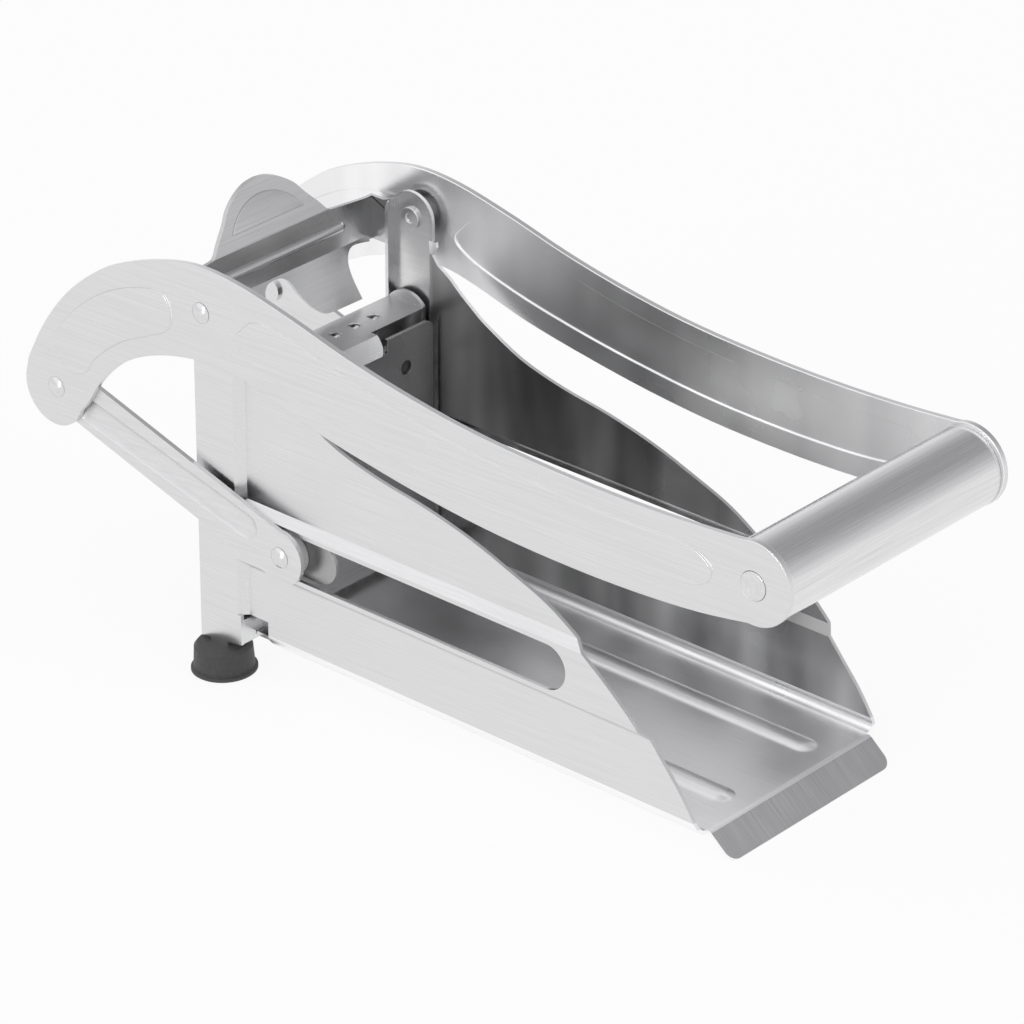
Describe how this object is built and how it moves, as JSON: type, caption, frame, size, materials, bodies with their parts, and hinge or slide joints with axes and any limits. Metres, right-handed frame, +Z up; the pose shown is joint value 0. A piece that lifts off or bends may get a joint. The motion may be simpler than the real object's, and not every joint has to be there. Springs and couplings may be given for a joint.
{
  "type": "french fry cutter",
  "caption": "Hand-lever cutter: raising the handle draws the pusher back, lowering it presses a potato through a square blade grid.",
  "frame": {"origin": "centre of the bounding box's bottom face, on the surface that the feet and the front lip stand on", "axes": "+X from the blade grid towards the handle and the front lip, +Y to the left side, +Z up"},
  "size_m": [0.2936, 0.1022, 0.1405],
  "materials": {
    "sheet_steel": "brushed",
    "arm_steel": "brushed lengthwise",
    "tube_steel": "brushed lengthwise",
    "rivet_steel": "polished heads",
    "blade_steel": "ground edge",
    "cassette_steel": "bright rolled",
    "pusher_steel": "bright rolled",
    "pad_plastic": "moulded, black",
    "bush_plastic": "moulded, white",
    "foot_rubber": "matt black",
    "plug_plastic": "moulded, black"
  },
  "bodies": {
    "body": {"tray_floor": "sheet_steel", "side_left": "sheet_steel", "side_right": "sheet_steel", "sill": "sheet_steel", "foot_left": "foot_rubber", "foot_right": "foot_rubber", "spacers": "rivet_steel", "pivot_rivet_left": "rivet_steel", "pivot_rivet_right": "rivet_steel"},
    "cassette": {"blade_frame": "cassette_steel", "blades_upright": "blade_steel", "blades_level": "blade_steel"},
    "flap": {"flap": "cassette_steel"},
    "lever": {"arm_left": "arm_steel", "arm_right": "arm_steel", "handle_tube": "tube_steel", "handle_rod": "rivet_steel", "handle_plugs": "plug_plastic", "tail_rivet_left": "rivet_steel", "tail_rivet_right": "rivet_steel"},
    "pusher": {"pusher_plate": "pusher_steel", "pusher_pad": "pad_plastic", "pad_rivets": "rivet_steel", "bush_left": "bush_plastic", "bush_right": "bush_plastic", "slide_rivet_left": "rivet_steel", "slide_rivet_right": "rivet_steel"},
    "left_link": {"link_left": "arm_steel", "link_stub_left": "rivet_steel"},
    "right_link": {"link_right": "arm_steel", "link_stub_right": "rivet_steel"}
  },
  "joints": [
    {"name": "lever_hinge", "type": "hinge", "parent": "body", "child": "lever", "pos_m": [-0.0704, 0, 0.12], "axis": [0, -1, 0], "range_deg": [0, 80]},
    {"name": "pusher_slide", "type": "slide", "parent": "body", "child": "pusher", "axis": [0.9994, 0, -0.0339], "range_m": [0, 0.09801]},
    {"name": "left_link_hinge", "type": "hinge", "parent": "pusher", "child": "left_link", "pos_m": [-0.04532, 0.04515, 0.04836], "axis": [0, -1, 0], "range_deg": [0, 15.4]},
    {"name": "right_link_hinge", "type": "hinge", "parent": "pusher", "child": "right_link", "pos_m": [-0.04532, -0.04515, 0.04836], "axis": [0, -1, 0], "range_deg": [0, 15.4]},
    {"name": "flap_hinge", "type": "hinge", "parent": "body", "child": "flap", "pos_m": [-0.0704, 0, 0.12], "axis": [0, 1, 0], "range_deg": [0, 35]},
    {"name": "cassette_slide", "type": "slide", "parent": "body", "child": "cassette", "axis": [0.0339, 0, 0.9994], "range_m": [0, 0.13]}
  ],
  "couplings": [
    {"joint": "pusher_slide", "follows": "lever_hinge", "m_per_rad": 0.070193},
    {"joint": "left_link_hinge", "follows": "lever_hinge", "ratio": 0.19252},
    {"joint": "right_link_hinge", "follows": "lever_hinge", "ratio": 0.19252}
  ]
}
